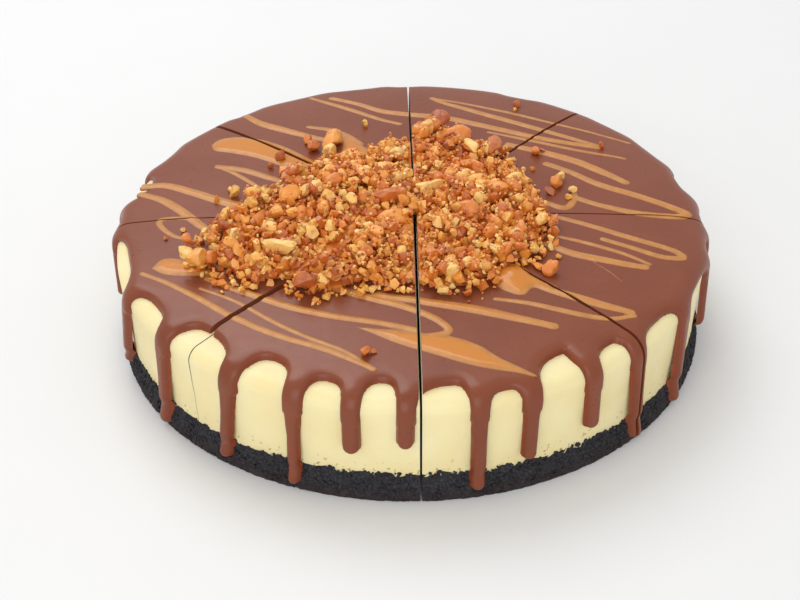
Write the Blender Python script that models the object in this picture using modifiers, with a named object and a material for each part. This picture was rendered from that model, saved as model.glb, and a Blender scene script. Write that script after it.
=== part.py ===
# A chocolate and caramel cheesecake, cut into eight slices that still stand together.
# Each slice is a dark crumb crust, a cream filling and a poured chocolate coat that runs
# down the side in drips, with caramel strokes and a heap of chopped nuts on top.
# The cake is modelled whole, layer by layer, and each layer is then cut by eight wedges.
# Metres, +Z up, the origin under the middle of the cake on the surface it stands on.

import math
import random

import bmesh
import bpy
import numpy as np
from mathutils import Matrix, Vector, noise

MM = 0.001

# Driving dimensions
FILLING_RADIUS = 115.3 * MM  # at the rim
FILLING_FOOT = 113.4 * MM  # at the crust: the side leans out a little on its way up
FILLING_TOP = 46.1 * MM
RIM_RADIUS = 5.0 * MM  # rounding between the filling's top and its side
DOME_DROP = 2.2 * MM  # how far the top has sunk where the rounding starts
CRUST_TOP = 11.0 * MM
CRUST_RADIUS = 113.9 * MM
FOOT_RADIUS = 115.8 * MM  # the crust spreads a little where it stands
CRUMB_RELIEF = 0.9 * MM
GAP = 0.3 * MM  # clearance between two layers that touch
COAT = 2.6 * MM  # chocolate's thickness
COAT_EDGE = 4.6 * MM  # width over which the coat rounds off at its edge
ARCH_FEET = 121.0 * MM  # run along the profile down to which the bare arches curve
ARCH_POWER = 2.6  # 2 makes the arches elliptic, more makes them squarer
ROUND_STEPS = 48
SLICES = 8

CUT_CENTRE = (1.8 * MM, 0)  # the knife cuts meet a little beside the middle

# Knife cuts: direction in degrees from +X, gap in the toppings, gap in the layers below
CUTS = (
    (-89.2, 1.5, 0.8),
    (-45.7, 1.3, 0.5),
    (-1.0, 0.8, 0.5),
    (50.3, 1.3, 0.5),
    (91.2, 0.8, 0.6),
    (138.1, 1.8, 0.5),
    (181.5, 0.8, 0.5),
    (226.0, 2.3, 0.4),
)

# Drips: direction at the rim and at the tip in degrees from +X, width at the rim and at the
# tip, height of the tip, then the bare arch before the next drip: the run along the cake's
# profile to the arch's top, and the direction of its top
DRIPS = (
    (159.0, 159.5, 6.0, 5.0, 17.0, 109.5, 166.0),
    (173.5, 174.0, 5.6, 4.8, 24.0, 115.0, 178.5),
    (182.5, 182.0, 5.6, 4.6, 14.0, 110.5, 192.0),
    (204.2, 198.6, 5.6, 4.8, 5.0, 109.3, 211.5),
    (219.3, 217.7, 8.0, 5.2, 1.8, 103.8, 225.5),
    (236.4, 234.5, 8.4, 5.0, 4.0, 103.2, 242.5),
    (249.2, 248.8, 8.0, 4.4, 2.8, 106.8, 254.2),
    (259.6, 259.6, 6.4, 6.2, 21.5, 104.8, 264.8),
    (269.2, 269.0, 6.4, 5.8, 25.0, 106.5, 277.6),
    (281.9, 281.7, 6.8, 5.2, 4.0, 112.3, 287.0),
    (291.4, 291.0, 8.0, 5.4, 14.0, 103.0, 301.4),
    (303.7, 303.6, 7.6, 5.8, 18.5, 108.3, 311.0),
    (314.5, 315.3, 7.4, 5.6, 2.0, 111.8, 323.0),
    (330.4, 329.0, 8.0, 5.0, 1.8, 115.3, 337.5),
    (348.0, 349.0, 8.0, 6.4, 10.5, 115.5, 352.5),
    (357.0, 357.0, 5.6, 6.0, 22.0, 115.0, 361.5),
)
BACK_DRIPS_FROM = 9.0
BACK_DRIPS_TO = 147.0
BACK_DRIP_COUNT = 12

# Caramel strokes on top: start x, y, end x, y, sideways bow, width, in millimetres
STROKES = (
    (10, 97, 82, 52, 2, 3.6),
    (-34, 98, 12, 81, 1, 4.0),
    (12, 81, 81, 51, -2, 3.2),
    (-44, 96, -6, 73, 1, 3.2),
    (-69, 83, -36, 58, 4, 4.4),
    (-44, 72, -24, 60, 0, 3.6),
    (43, 54, 87, 23, -3, 4.4),
    (58, 41, 108, 0, -2, 4.2),
    (66, 12, 107, -1, 2, 2.8),
    (51, -1, 102, -30, 2, 3.6),
    (54, -24, 88, -38, 1, 4.6),
    (-107, 26, -52, 4, -3, 4.6),
    (-108, 22, -72, -17, 0, 4.4),
    (-78, 38, -47, 22, -2, 3.4),
    (-97, -3, -86, -17, -2, 2.8),
    (-98, -41, -13, -101, 3, 3.2),
    (-72, -48, 0, -85, 3, 4.2),
    (-36, -50, 13, -80, -2, 3.8),
    (-34, -43, 51, -76, 2, 4.6),
    (46, -50, 81, -69, -2, 4.2),
)

# Caramel puddles: middle x, y, length, width, direction in degrees
PUDDLES = (
    (-66, 51, 42, 17, -32),
    (-22, 53, 22, 12, -40),
    (-86, -36, 27, 11, -26),
    (17, -92, 44, 12, -23),
    (38, -48, 20, 13, -45),
)
CARAMEL_HEIGHT = 0.7 * MM

# Nut heap: its reach from the middle every 12 degrees from +X, in millimetres
HEAP_REACH = (
    (50, 49, 49, 52, 57, 58, 62, 67, 52, 45)
    + (41, 44, 50, 55, 55, 70, 80, 88, 84, 69)
    + (67, 55, 53, 55, 60, 59, 54, 57, 58, 55)
)
HEAP_HEIGHT = 4.6 * MM

# Large nut pieces: x, y, length, width, direction in degrees, lift off the coat
CHUNKS = (
    (-8, 3, 15, 9, 10, 4.0),
    (9, 9, 17, 8, 35, 4.5),
    (-18, 18, 20, 6, -50, 4.0),
    (-47, 4, 12, 9, 70, 2.5),
    (-30, 14, 9, 7, 40, 3.5),
    (20, 52, 13, 9, 20, 3.0),
    (13, 66, 9, 7, 80, 2.0),
    (26, 38, 12, 6, -65, 3.5),
    (34, 40, 15, 6, 70, 3.0),
    (26, 12, 14, 8, 25, 4.0),
    (34, 8, 15, 6, -35, 3.5),
    (-32, 55, 13, 8, 60, 1.5),
    (-49, -34, 16, 8, -20, 2.5),
    (-79, -41, 10, 8, 60, 1.5),
    (-38, -56, 9, 7, 30, 1.5),
    (-24, 33, 12, 8, 0, 3.0),
    (-6, -14, 12, 9, 10, 3.5),
    (22, -8, 12, 9, 0, 3.5),
)
CRUMB_COUNT = 66
CRUMB_SIZE = (3.4, 6.2)

# Pieces that lie alone on the chocolate: x, y, size
STRAYS = (
    (59, 20, 7.5),
    (47, 90, 4.0),
    (-16, -93, 5.0),
    (-70, 14, 6.0),
    (-19, 71, 4.0),
    (52, 46, 5.0),
)

TOP_ROWS = 9  # rings of points on the flat middle of the coat
COAT_COLUMNS = 720
COAT_ROW_STEP = 1.0 * MM
COAT_TRIANGLES = 2300
SEED = 8


def clear_scene():
    for obj in list(bpy.data.objects):
        bpy.data.objects.remove(obj)


def new_collection(name):
    collection = bpy.data.collections.new(name)
    bpy.context.scene.collection.children.link(collection)
    return collection


def new_material(name, colour, roughness):
    material = bpy.data.materials.new(name)
    material.use_nodes = True
    shader = material.node_tree.nodes["Principled BSDF"]
    shader.inputs["Base Color"].default_value = (*colour, 1)
    shader.inputs["Roughness"].default_value = roughness
    shader.inputs["Metallic"].default_value = 0
    return material


def new_object(name, mesh, collection):
    obj = bpy.data.objects.new(name, mesh)
    collection.objects.link(obj)
    return obj


def mesh_from(bm, name):
    mesh = bpy.data.meshes.new(name)
    bm.to_mesh(mesh)
    bm.free()
    return mesh


def apply_modifiers(obj):
    """The evaluated mesh takes the place of the mesh and its modifiers."""
    graph = bpy.context.evaluated_depsgraph_get()
    mesh = bpy.data.meshes.new_from_object(obj.evaluated_get(graph))
    obj.modifiers.clear()
    obj.data = mesh
    return obj


def boolean(obj, operation, other=None, collection=None, solver="MANIFOLD"):
    modifier = obj.modifiers.new("Boolean", "BOOLEAN")
    modifier.operation = operation
    modifier.solver = solver
    if collection:
        modifier.operand_type = "COLLECTION"
        modifier.collection = collection
    else:
        modifier.object = other
    return apply_modifiers(obj)


def remove_all(collection):
    for obj in list(collection.objects):
        bpy.data.objects.remove(obj)
    bpy.data.collections.remove(collection)


def turned(name, profile, steps, collection):
    """A profile of (radius, height) from the top of the axis down to its bottom, turned round Z."""
    mesh = bpy.data.meshes.new(name)
    points = [(radius, 0, height) for radius, height in profile]
    mesh.from_pydata(points, [(i, i + 1) for i in range(len(points) - 1)], [])
    obj = new_object(name, mesh, collection)
    screw = obj.modifiers.new("Screw", "SCREW")
    screw.steps = screw.render_steps = steps
    screw.use_merge_vertices = True
    screw.merge_threshold = 0.00001
    return apply_modifiers(obj)


def dome(radius):
    """Height of the filling's top at this radius."""
    inner = FILLING_RADIUS - RIM_RADIUS
    return FILLING_TOP - DOME_DROP * (radius / inner) ** 6


def rim_arc(count):
    """The rounding between top and side, from the top down, as (radius, height)."""
    centre = FILLING_RADIUS - RIM_RADIUS
    low = FILLING_TOP - DOME_DROP - RIM_RADIUS
    turns = [math.pi / 2 * (1 - i / count) for i in range(count + 1)]
    return [
        (centre + RIM_RADIUS * math.cos(a), low + RIM_RADIUS * math.sin(a)) for a in turns
    ]


def filling_profile():
    inner = FILLING_RADIUS - RIM_RADIUS
    top = [(inner * share, dome(inner * share)) for share in (0, 0.6, 0.82, 0.93)]
    side = [(FILLING_FOOT, CRUST_TOP + GAP), (0, CRUST_TOP + GAP)]
    return top + rim_arc(4) + side


def crust_side():
    """The crust's side, from its top edge down to the foot."""
    return [
        (CRUST_RADIUS, CRUST_TOP),
        (CRUST_RADIUS + 0.9 * MM, 7.0 * MM),
        (FOOT_RADIUS - 0.3 * MM, 3.2 * MM),
        (FOOT_RADIUS, 1.2 * MM),
        (FOOT_RADIUS - 0.5 * MM, 0),
    ]


def envelope_side():
    """The side of filling and crust together, on which the drips lie."""
    return [(FILLING_FOOT, CRUST_TOP + 2.0 * MM), *crust_side()]


def along(points, step):
    """Points at even spacing along a broken line."""
    points = np.array(points)
    lengths = np.concatenate([[0], np.cumsum(np.linalg.norm(np.diff(points, axis=0), axis=1))])
    count = max(2, int(round(lengths[-1] / step)))
    places = np.linspace(0, lengths[-1], count + 1)
    return np.stack([np.interp(places, lengths, points[:, i]) for i in (0, 1)], axis=1)


def back_drips():
    """Drips on the side away from the view, spread evenly with seeded differences."""
    draw = random.Random(SEED)
    rows = []
    spacing = (BACK_DRIPS_TO - BACK_DRIPS_FROM) / (BACK_DRIP_COUNT - 1)
    for i in range(BACK_DRIP_COUNT):
        place = BACK_DRIPS_FROM + spacing * i + draw.uniform(-2, 2)
        width = draw.uniform(5.4, 7.4)
        tip_width = draw.uniform(4.4, 6.0)
        tip = draw.choice((2.5, 5, 11, 17, 22, 27))
        arch, peak = draw.uniform(112.5, 116.5), place + spacing / 2 + draw.uniform(-1, 1)
        tip_place = place + draw.uniform(-1.5, 1.5)
        rows.append((place, tip_place, width, tip_width, tip, arch, peak))
    return rows


def smooth_max(a, b, reach):
    """The larger of two fields, with a fillet where they meet."""
    blend = np.clip(0.5 + 0.5 * (a - b) / reach, 0, 1)
    return b * (1 - blend) + a * blend + reach * blend * (1 - blend)


def signed_turn(degrees):
    return (degrees + 180) % 360 - 180


def cap_edge(drips):
    """Run at which the coat ends between the drips, at every tenth of a degree.
    The bare filling shows through rounded arches, whose feet stand beside the drips."""
    turn = np.arange(3600) / 10
    edge = np.full(3600, ARCH_FEET)
    for row, following in zip(drips, [*drips[1:], drips[0]]):
        left = row[0] + math.degrees(0.38 * row[2] * MM / FILLING_RADIUS)
        right = following[0] - math.degrees(0.38 * following[2] * MM / FILLING_RADIUS)
        right = left + (right - left) % 360
        peak = min(max(left + (row[6] - left) % 360, left + 0.9), right - 0.9)
        place = left + (turn - left) % 360
        side = np.where(place < peak, peak - left, right - peak)
        share = np.clip(np.abs(place - peak) / side, 0, 1)
        height = (ARCH_FEET - row[5] * MM) * (1 - share**ARCH_POWER) ** (1 / ARCH_POWER)
        edge = np.where(place <= right, ARCH_FEET - height, edge)
    return edge


def cap_distance(turn, run, edge):
    """Distance in from the cap's edge, taken to the nearest stretch of it close by."""
    column = np.round(turn * 10).astype(int)
    nearest = np.full(np.shape(run), 1.0)
    for shift in range(-30, 30, 2):
        start, end = [
            math.radians(at / 10) * FILLING_RADIUS + 1j * (edge[(column + at) % 3600] - run)
            for at in (shift, shift + 2)
        ]
        along_it = end - start
        share = np.clip(-(start * along_it.conj()).real / np.abs(along_it) ** 2, 0, 1)
        nearest = np.minimum(nearest, np.abs(start + share * along_it))
    return np.where(edge[column % 3600] > run, nearest, -nearest)


def coat_field(turn, run, run_of_height):
    """Distance in from the coat's edge, in metres, at a direction (degrees) and a run along
    the profile. The cap ends in arches, and each drip is a rounded strip down from it."""
    drips = sorted([*DRIPS, *back_drips()])
    field = cap_distance(turn, run, cap_edge(drips))
    rim_run = FILLING_RADIUS - 8 * MM
    for rim, tip, width, tip_width, height, *_ in drips:
        end = run_of_height(height * MM) - tip_width / 2 * MM
        share = np.clip((run - rim_run) / (end - rim_run), 0, 1)
        place = rim + signed_turn(tip - rim) * share**1.5
        aside = np.radians(signed_turn(turn - place)) * FILLING_RADIUS
        down = np.maximum(0, run - end)
        half = (width + (tip_width - width) * np.clip(share * 1.8, 0, 1)) / 2 * MM
        strip = half - np.hypot(aside, down)
        strip = np.where(run < rim_run - 4 * MM, -1.0, strip)
        field = smooth_max(field, strip, 2.5 * MM)
    return field


def coat_offset(field):
    """How far the coat's face stands off what it lies on. Outside the edge it dips under."""
    share = np.clip(field / COAT_EDGE, 0, 1)
    inside = GAP + COAT * np.sqrt(1 - (1 - share) ** 2)
    outside = GAP + 1.3 * field
    return np.where(field > 0, inside, np.maximum(outside, -1.6 * MM))


def coat_profile():
    """Dense profile of the coated surface: (radius, height), its normals and its run."""
    inner = FILLING_RADIUS - RIM_RADIUS
    start = 96 * MM
    top = [(inner * i / 200, dome(inner * i / 200)) for i in range(201)]
    top = [point for point in top if point[0] >= start]
    outer = along(top + rim_arc(16) + envelope_side()[:-1], COAT_ROW_STEP)
    middle = [(start * i / TOP_ROWS, 0) for i in range(TOP_ROWS)]
    middle = np.array([(radius, dome(radius)) for radius, _ in middle])
    points = np.concatenate([middle, outer])
    steps = np.gradient(points, axis=0)
    normals = np.stack([-steps[:, 1], steps[:, 0]], axis=1)
    normals /= np.linalg.norm(normals, axis=1)[:, None]
    run = np.concatenate([[0], np.cumsum(np.linalg.norm(np.diff(points, axis=0), axis=1))])
    return points, normals, run


def coat_shell(collection):
    """The coat's outer face on a solid of revolution, thinned to the triangles it needs."""
    points, normals, run = coat_profile()
    low = [(points[-1][0] - 20 * MM, points[-1][1]), (0, points[-1][1])]
    obj = turned("coat", [*map(tuple, points), *low], COAT_COLUMNS, collection)

    def run_of_height(height):
        side = points[:, 0] > FILLING_RADIUS - RIM_RADIUS
        return np.interp(-height, -points[side, 1], run[side])

    co = np.empty(len(obj.data.vertices) * 3, np.float32)
    obj.data.vertices.foreach_get("co", co)
    co = co.reshape(-1, 3).astype(float)
    radius = np.hypot(co[:, 0], co[:, 1])
    turn = np.degrees(np.arctan2(co[:, 1], co[:, 0])) % 360
    squared = (radius[:, None] - points[:, 0]) ** 2 + (co[:, 2:3] - points[:, 1]) ** 2
    row = squared.argmin(axis=1)
    on_face = squared[np.arange(len(row)), row] < (0.01 * MM) ** 2
    offset = coat_offset(coat_field(turn, run[row], run_of_height))
    offset = np.where(on_face, offset, 0)
    outward = np.where(radius > 1e-7, normals[row, 0] * offset, 0)
    scale = 1 + outward / np.maximum(radius, 1e-7)
    co[:, 0] *= scale
    co[:, 1] *= scale
    co[:, 2] += normals[row, 1] * offset
    obj.data.vertices.foreach_set("co", co.astype(np.float32).ravel())
    obj.data.update()
    triangles = sum(len(face.vertices) - 2 for face in obj.data.polygons)
    decimate = obj.modifiers.new("Decimate", "DECIMATE")
    decimate.ratio = COAT_TRIANGLES / triangles
    return apply_modifiers(obj)


def core_cutter(collection):
    """Filling and crust grown by the clearance, which the coat is cut by."""
    inner = FILLING_RADIUS - RIM_RADIUS
    top = [(inner * share, dome(inner * share) + GAP) for share in (0, 0.6, 0.82, 0.93)]
    centre = Vector((inner, FILLING_TOP - DOME_DROP - RIM_RADIUS))
    arc = []
    for radius, height in rim_arc(4):
        out = Vector((radius, height)) - centre
        arc.append(tuple(centre + out * (1 + GAP / RIM_RADIUS)))
    side = [(radius + GAP, height) for radius, height in envelope_side()]
    floor = [(FOOT_RADIUS, -10 * MM), (0, -10 * MM)]
    obj = turned("core", top + arc + side + floor, ROUND_STEPS, collection)
    obj.hide_render = True
    return obj


def stroke_points(row, count=4):
    """Centre line of a caramel stroke: a straight run with a sideways bow."""
    start, end = Vector(row[0:2]) * MM, Vector(row[2:4]) * MM
    across = Vector((start.y - end.y, end.x - start.x)).normalized()
    shares = [i / (count - 1) for i in range(count)]
    return [
        start.lerp(end, share) + across * row[4] * MM * math.sin(math.pi * share)
        for share in shares
    ]


def coat_top(radius):
    return dome(radius) + GAP + COAT


def add_stroke(row, number, collection):
    """A flattened round cord laid along the stroke, thinner at both ends."""
    points = stroke_points(row)
    curve = bpy.data.curves.new(f"stroke_{number}", "CURVE")
    curve.dimensions = "3D"
    curve.bevel_depth = row[5] / 2 * MM
    curve.bevel_resolution = 1
    curve.use_fill_caps = True
    spline = curve.splines.new("POLY")
    spline.points.add(len(points) - 1)
    for i, point in enumerate(points):
        share = i / (len(points) - 1)
        spline.points[i].co = (point.x, point.y, 0, 1)
        spline.points[i].radius = 0.45 + 0.55 * math.sin(math.pi * min(1, share * 4) / 2)
        spline.points[i].radius *= 0.55 + 0.45 * math.sin(math.pi * min(1, (1 - share) * 4) / 2)
    obj = new_object(curve.name, curve, collection)
    graph = bpy.context.evaluated_depsgraph_get()
    mesh = bpy.data.meshes.new_from_object(obj.evaluated_get(graph))
    bpy.data.objects.remove(obj)
    bm = bmesh.new()
    bm.from_mesh(mesh)
    bmesh.ops.remove_doubles(bm, verts=bm.verts, dist=0.00001)
    flatten = CARAMEL_HEIGHT / (row[5] / 2 * MM)
    for vert in bm.verts:
        radius = math.hypot(vert.co.x, vert.co.y)
        vert.co.z = vert.co.z * flatten + coat_top(radius)
    bmesh.ops.recalc_face_normals(bm, faces=bm.faces)
    return new_object(f"stroke_{number}", mesh_from(bm, f"stroke_{number}"), collection)


def add_puddle(row, number, collection):
    """A low pool of caramel: a flattened ball, longer one way."""
    x, y, length, width, turn = row
    bm = bmesh.new()
    bmesh.ops.create_uvsphere(bm, u_segments=12, v_segments=4, radius=1)
    place = Matrix.Translation((x * MM, y * MM, coat_top(math.hypot(x, y) * MM)))
    size = Matrix.Diagonal((length / 2 * MM, width / 2 * MM, CARAMEL_HEIGHT * 1.3, 1))
    spin = Matrix.Rotation(math.radians(turn), 4, "Z")
    bmesh.ops.transform(bm, matrix=place @ spin @ size, verts=bm.verts)
    return new_object(f"puddle_{number}", mesh_from(bm, f"puddle_{number}"), collection)


def nut_piece(name, place, size, turns, detail, seed, collection):
    """A broken piece of nut: a coarse ball pushed in and out."""
    bm = bmesh.new()
    bmesh.ops.create_icosphere(bm, subdivisions=detail, radius=0.5)
    shift = Vector((seed * 3.1, seed * 1.7, 0))
    for vert in bm.verts:
        vert.co *= 1 + 0.35 * noise.noise(vert.co * 2.2 + shift)
    turn = Matrix.Rotation(turns[0], 4, "Z") @ Matrix.Rotation(turns[1], 4, "X")
    matrix = Matrix.Translation(place) @ turn @ Matrix.Diagonal((*size, 1))
    bmesh.ops.transform(bm, matrix=matrix, verts=bm.verts)
    return new_object(name, mesh_from(bm, name), collection)


def heap_reach(turn):
    """The heap's reach at a direction in degrees, smooth between the named reaches."""
    step = 360 / len(HEAP_REACH)
    place = turn % 360 / step
    low = int(place)
    share = place - low
    share = share * share * (3 - 2 * share)
    near, far = HEAP_REACH[low % len(HEAP_REACH)], HEAP_REACH[(low + 1) % len(HEAP_REACH)]
    return (near + (far - near) * share) * MM


def heap_base():
    return coat_top(0) + GAP


def heap_core(collection):
    """A low mound with a flat underside and the heap's uneven outline."""
    shares = (0, 0.35, 0.7, 0.94, 1)
    heights = (1, 0.98, 0.85, 0.6, 0.35)
    profile = [(share, height) for share, height in zip(shares, heights)]
    obj = turned("heap", [*profile, (1, 0), (0, 0)], 36, collection)
    for vert in obj.data.vertices:
        turn = math.degrees(math.atan2(vert.co.y, vert.co.x))
        reach = heap_reach(turn)
        bump = 0.3 * noise.noise(Vector((vert.co.x * 9, vert.co.y * 9, 2.5)))
        lift = HEAP_HEIGHT * vert.co.z * (1 + bump if vert.co.z > 0.01 else 1)
        vert.co = (vert.co.x * reach, vert.co.y * reach, heap_base() + lift)
    return obj


def nut_heap(collection):
    """The core with the pieces that show fused on, cut flat underneath."""
    draw = random.Random(SEED)
    pieces = new_collection("nut pieces")
    for i, (x, y, length, width, turn, lift) in enumerate(CHUNKS):
        place = Vector((x * MM, y * MM, heap_base() + (lift + width * 0.22) * MM))
        size = (length * MM, width * MM, width * 0.8 * MM)
        detail = 2 if length > 12 else 1
        nut_piece(f"chunk_{i}", place, size, (math.radians(turn), 0.15), detail, i, pieces)
    placed = [(x * MM, y * MM) for x, y, *_ in CHUNKS]
    tries = 0
    while len(placed) < len(CHUNKS) + CRUMB_COUNT and tries < 20000:
        tries += 1
        turn = draw.uniform(0, 360)
        share = 0.97 * math.sqrt(draw.random())
        reach = heap_reach(turn) * share
        x, y = reach * math.cos(math.radians(turn)), reach * math.sin(math.radians(turn))
        if min(math.hypot(x - a, y - b) for a, b in placed) < 6.2 * MM:
            continue
        placed.append((x, y))
        size = draw.uniform(*CRUMB_SIZE) * MM
        lift = HEAP_HEIGHT * (0.85 - 0.5 * share**3)
        place = Vector((x, y, heap_base() + lift))
        box = (size * draw.uniform(0.9, 1.4), size, size * draw.uniform(0.8, 1.1))
        turns = (draw.uniform(0, 6.3), draw.uniform(-0.6, 0.6))
        nut_piece(f"crumb_{tries}", place, box, turns, 1, tries, pieces)
    heap = heap_core(collection)
    boolean(heap, "UNION", collection=pieces)
    remove_all(pieces)
    slab = block("slab", (-0.2, -0.2, heap_base() - 0.05), (0.2, 0.2, heap_base()), collection)
    boolean(heap, "DIFFERENCE", slab)
    bpy.data.objects.remove(slab)
    return heap


def block(name, low, high, collection):
    bm = bmesh.new()
    bmesh.ops.create_cube(bm, size=1)
    size = [b - a for a, b in zip(low, high)]
    middle = [(a + b) / 2 for a, b in zip(low, high)]
    bmesh.ops.scale(bm, vec=size, verts=bm.verts)
    bmesh.ops.translate(bm, vec=middle, verts=bm.verts)
    return new_object(name, mesh_from(bm, name), collection)


def heap_footprint(collection):
    """A prism just wider than the heap, which keeps the caramel from running under it."""
    obj = turned("footprint", [(0, 1), (1, 1), (1, 0), (0, 0)], 54, collection)
    for vert in obj.data.vertices:
        reach = heap_reach(math.degrees(math.atan2(vert.co.y, vert.co.x))) + 3.5 * MM
        vert.co = (vert.co.x * reach, vert.co.y * reach, 0.03 + 0.05 * vert.co.z)
    return obj


def chocolate_coat(collection):
    coat = coat_shell(collection)
    caramel = new_collection("caramel")
    for i, row in enumerate(STROKES):
        add_stroke(row, i, caramel)
    for i, row in enumerate(PUDDLES):
        add_puddle(row, i, caramel)
    footprint = heap_footprint(collection)
    for obj in list(caramel.objects):
        boolean(obj, "DIFFERENCE", footprint)
        if not obj.data.polygons:
            bpy.data.objects.remove(obj)
    bpy.data.objects.remove(footprint)
    for i, (x, y, size) in enumerate(STRAYS):
        place = Vector((x * MM, y * MM, coat_top(math.hypot(x, y) * MM) + size * 0.3 * MM))
        box = (size * MM, size * 0.8 * MM, size * 0.8 * MM)
        nut_piece(f"stray_{i}", place, box, (i, 0.3), 1, i + 40, caramel)
    boolean(coat, "UNION", collection=caramel)
    remove_all(caramel)
    core = core_cutter(collection)
    boolean(coat, "DIFFERENCE", core)
    bpy.data.objects.remove(core)
    return coat


def crumb_crust(collection):
    """A flat disc of pressed crumbs with an uneven side."""
    profile = [(0, CRUST_TOP), *crust_side(), (0, 0)]
    crust = turned("crust", profile, ROUND_STEPS * 2, collection)
    for vert in crust.data.vertices:
        radius = math.hypot(vert.co.x, vert.co.y)
        if radius < CRUST_RADIUS - 1 * MM or vert.co.z > CRUST_TOP - 0.1 * MM:
            continue
        rough = noise.noise(vert.co * 260) * 0.6 + noise.noise(vert.co * 700) * 0.4
        scale = 1 - CRUMB_RELIEF * min(1, max(0, 0.35 + rough)) / radius
        vert.co.x *= scale
        vert.co.y *= scale
    return crust


def wedge(number, use_top_gap, collection):
    """The space of one slice: a tall prism between two neighbouring knife cuts."""
    first, second = CUTS[number], CUTS[(number + 1) % SLICES]
    column = 1 if use_top_gap else 2
    start, end = math.radians(first[0]), math.radians(second[0])
    end += 2 * math.pi if end < start else 0
    near, far = first[column] / 2 * MM, second[column] / 2 * MM
    one, two = Vector((math.cos(start), math.sin(start))), Vector((math.cos(end), math.sin(end)))
    span = end - start
    # The tip is where the two cut faces meet.
    tip = (one * far + two * near) / math.sin(span)
    tip += Vector(CUT_CENTRE)
    corners = [tip, tip + one * 0.2, tip + two * 0.2]
    bm = bmesh.new()
    verts = [bm.verts.new((corner.x, corner.y, -0.02)) for corner in corners]
    face = bm.faces.new(verts)
    made = bmesh.ops.extrude_face_region(bm, geom=[face])
    lifted = [item for item in made["geom"] if isinstance(item, bmesh.types.BMVert)]
    bmesh.ops.translate(bm, vec=(0, 0, 0.12), verts=lifted)
    bmesh.ops.recalc_face_normals(bm, faces=bm.faces)
    obj = new_object(f"wedge_{number}", mesh_from(bm, "wedge"), collection)
    obj.hide_render = True
    return obj


def keep_largest_body(obj):
    """Scraps that a cut leaves loose are dropped."""
    bm = bmesh.new()
    bm.from_mesh(obj.data)
    bmesh.ops.remove_doubles(bm, verts=bm.verts, dist=0.000002)
    seen, bodies = set(), []
    for start in bm.verts:
        if start in seen:
            continue
        body, todo = [], [start]
        seen.add(start)
        while todo:
            vert = todo.pop()
            body.append(vert)
            for edge in vert.link_edges:
                other = edge.other_vert(vert)
                if other not in seen:
                    seen.add(other)
                    todo.append(other)
        bodies.append(body)
    bodies.sort(key=len, reverse=True)
    for body in bodies[1:]:
        bmesh.ops.delete(bm, geom=body, context="VERTS")
    obj.data = mesh_from(bm, obj.name)
    return obj


def slice_layer(whole, name, material, use_top_gap, parts, helpers):
    for number in range(SLICES):
        cutter = wedge(number, use_top_gap, helpers)
        piece = new_object(f"{name}_{number + 1}", whole.data.copy(), parts)
        boolean(piece, "INTERSECT", cutter)
        keep_largest_body(piece)
        piece.data.materials.clear()
        piece.data.materials.append(material)
        bpy.data.objects.remove(cutter)
    bpy.data.objects.remove(whole)


def main():
    clear_scene()
    parts = new_collection("cheesecake")
    helpers = new_collection("helpers")
    crust_look = new_material("crust", (0.028, 0.022, 0.022), 0.85)
    filling_look = new_material("filling", (0.86, 0.76, 0.48), 0.5)
    coat_look = new_material("chocolate", (0.17, 0.06, 0.035), 0.3)
    nut_look = new_material("nuts", (0.62, 0.3, 0.1), 0.6)
    filling = turned("filling", filling_profile(), ROUND_STEPS, helpers)
    layers = (
        (crumb_crust(helpers), "crust", crust_look, False),
        (filling, "filling", filling_look, False),
        (chocolate_coat(helpers), "chocolate", coat_look, True),
        (nut_heap(helpers), "nuts", nut_look, True),
    )
    for whole, name, look, use_top_gap in layers:
        slice_layer(whole, name, look, use_top_gap, parts, helpers)


main()
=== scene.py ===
# %% [markdown]
# # A chocolate and caramel cheesecake, cut into eight slices
#
# The cake stands whole, but eight knife cuts run through it. Each slice has a black crumb
# crust, a cream filling, a poured chocolate coat with drips, caramel strokes and chopped nuts.
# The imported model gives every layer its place. Here each layer gets its fine surface and its
# finish, so that it looks baked, poured and broken rather than machined.

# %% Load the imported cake
import math
import random

import bpy
import numpy as np
from mathutils import Matrix, Quaternion, Vector, noise


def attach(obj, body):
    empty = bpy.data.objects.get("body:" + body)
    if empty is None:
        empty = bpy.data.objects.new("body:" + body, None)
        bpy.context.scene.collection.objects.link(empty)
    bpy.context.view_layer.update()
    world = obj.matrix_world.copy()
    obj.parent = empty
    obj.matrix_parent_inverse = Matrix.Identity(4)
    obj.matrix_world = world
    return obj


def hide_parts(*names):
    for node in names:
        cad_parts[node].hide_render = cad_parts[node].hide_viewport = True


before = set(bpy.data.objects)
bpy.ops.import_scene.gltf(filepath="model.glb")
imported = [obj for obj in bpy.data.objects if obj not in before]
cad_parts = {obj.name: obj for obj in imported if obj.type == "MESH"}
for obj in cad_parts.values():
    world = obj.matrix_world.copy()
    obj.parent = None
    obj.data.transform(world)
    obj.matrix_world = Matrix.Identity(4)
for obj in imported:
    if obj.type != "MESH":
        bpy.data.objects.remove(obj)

noise.seed_set(5)  # noise_vector would otherwise start from the clock
MM = 0.001
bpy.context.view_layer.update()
bpy.ops.object.select_all(action="DESELECT")

# %% [markdown]
# ## Camera
#
# A longish lens from well above the cake's top, as in the photograph. The camera stands 0.67 m
# from the middle of the top and looks down by about 35 degrees.

# %% Place the camera
camera_data = bpy.data.cameras.new("camera")
camera_data.lens = 76.5
camera_data.sensor_width = 36
camera = bpy.data.objects.new("camera", camera_data)
bpy.context.scene.collection.objects.link(camera)
bpy.context.scene.camera = camera
camera.location = (0, -0.5699, 0.4004)
aim = Vector((-0.00412, -0.0184, 0.02005)) - camera.location
camera.rotation_mode = "QUATERNION"
tilt = Quaternion((0, 0, 1), math.radians(-0.57))
camera.rotation_quaternion = aim.to_track_quat("-Z", "Y") @ tilt
print("camera looks down by", round(math.degrees(math.asin(-aim.normalized().z)), 1), "degrees")

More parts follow.
